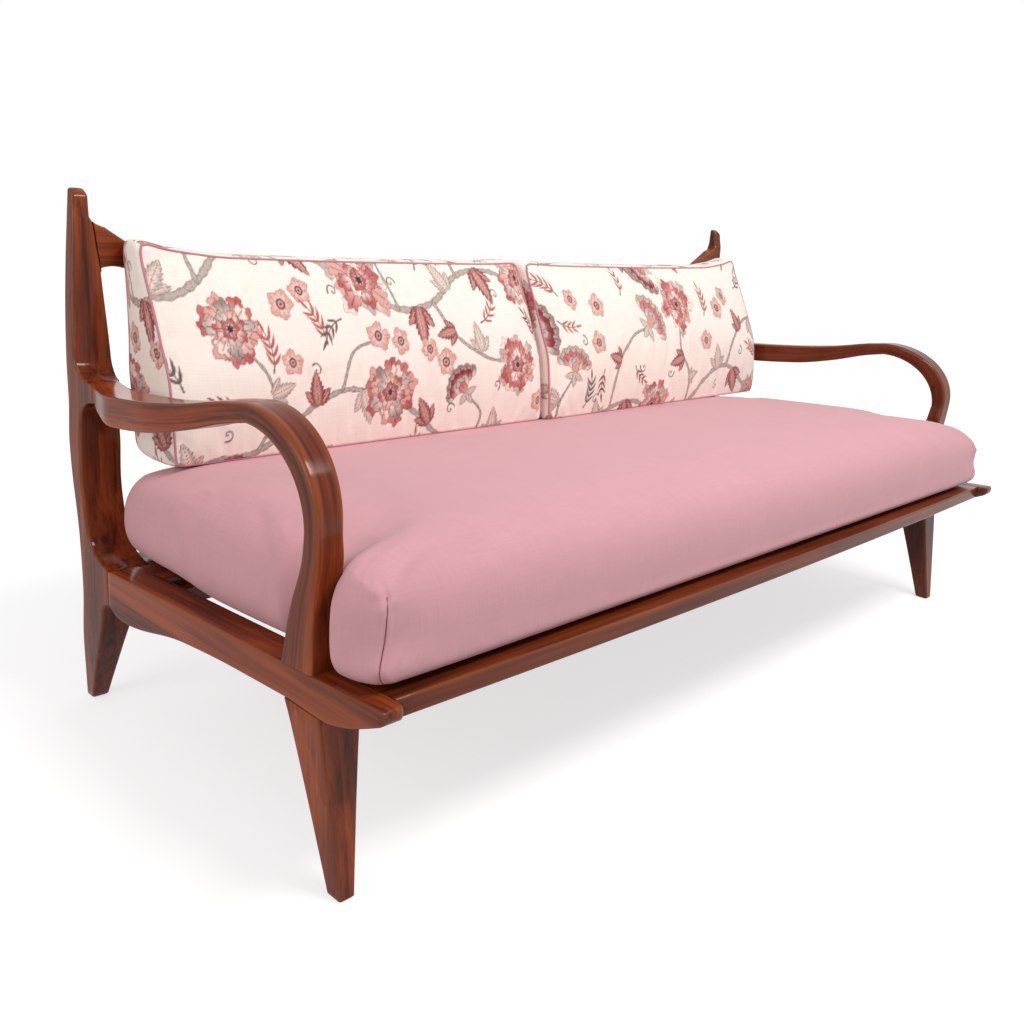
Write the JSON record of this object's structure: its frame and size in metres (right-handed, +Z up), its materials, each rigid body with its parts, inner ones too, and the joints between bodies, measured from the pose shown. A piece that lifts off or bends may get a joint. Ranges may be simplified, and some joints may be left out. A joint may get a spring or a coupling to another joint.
{
  "type": "teak three-seat sofa",
  "caption": "Long teak sofa with tapered legs, bent bow arms, a slatted seat and back, one rose linen seat cushion and two floral jacquard back cushions with piping.",
  "frame": {"origin": "on the floor, midway between the end frames and midway between the horn tips and the backs of the posts", "axes": "+Z up, -Y towards the front, +X to the right as seen from the front"},
  "size_m": [1.9472, 0.81, 0.8497],
  "materials": {
    "teak": "satin",
    "dark_teak": "satin",
    "screw_brass": "satin",
    "rose_linen": "matte",
    "floral_jacquard": "matte"
  },
  "bodies": {
    "frame": {"left_post": "teak", "right_post": "teak", "left_side_rail": "teak", "right_side_rail": "teak", "left_front_leg": "teak", "right_front_leg": "teak", "left_armrest": "teak", "right_armrest": "teak", "left_arm_support": "teak", "right_arm_support": "teak", "crest_rail": "teak", "lower_back_rail": "teak", "front_rail": "teak", "front_apron": "dark_teak", "rear_seat_board": "teak", "front_cleat": "dark_teak", "rear_cleat": "dark_teak", "left_board_cleat": "dark_teak", "right_board_cleat": "dark_teak", "back_slat_1": "teak", "back_slat_2": "teak", "back_slat_3": "teak", "back_slat_4": "teak", "back_slat_5": "teak", "back_slat_6": "teak", "back_slat_7": "teak", "back_slat_8": "teak", "back_slat_9": "teak", "seat_slat_1": "teak", "seat_slat_2": "teak", "seat_slat_3": "teak", "seat_slat_4": "teak", "seat_slat_5": "teak", "seat_slat_6": "teak", "seat_slat_7": "teak", "seat_slat_8": "teak", "seat_slat_9": "teak", "seat_slat_10": "teak", "seat_slat_11": "teak", "seat_slat_12": "teak", "seat_slat_screws": "screw_brass", "back_slat_screws": "screw_brass", "arm_dowels": "dark_teak", "leg_dowels": "dark_teak"},
    "seat_cushion": {"seat_cushion": "rose_linen"},
    "left_back_cushion": {"left_back_cushion": "floral_jacquard"},
    "right_back_cushion": {"right_back_cushion": "floral_jacquard"}
  },
  "joints": [
    {"name": "seat_cushion_lift", "type": "slide", "parent": "frame", "child": "seat_cushion", "axis": [0, 0, 1], "range_m": [0, 0.08]},
    {"name": "left_back_cushion_lift", "type": "slide", "parent": "seat_cushion", "child": "left_back_cushion", "axis": [0, 0, 1], "range_m": [0, 0.36]},
    {"name": "right_back_cushion_lift", "type": "slide", "parent": "seat_cushion", "child": "right_back_cushion", "axis": [0, 0, 1], "range_m": [0, 0.36]}
  ]
}
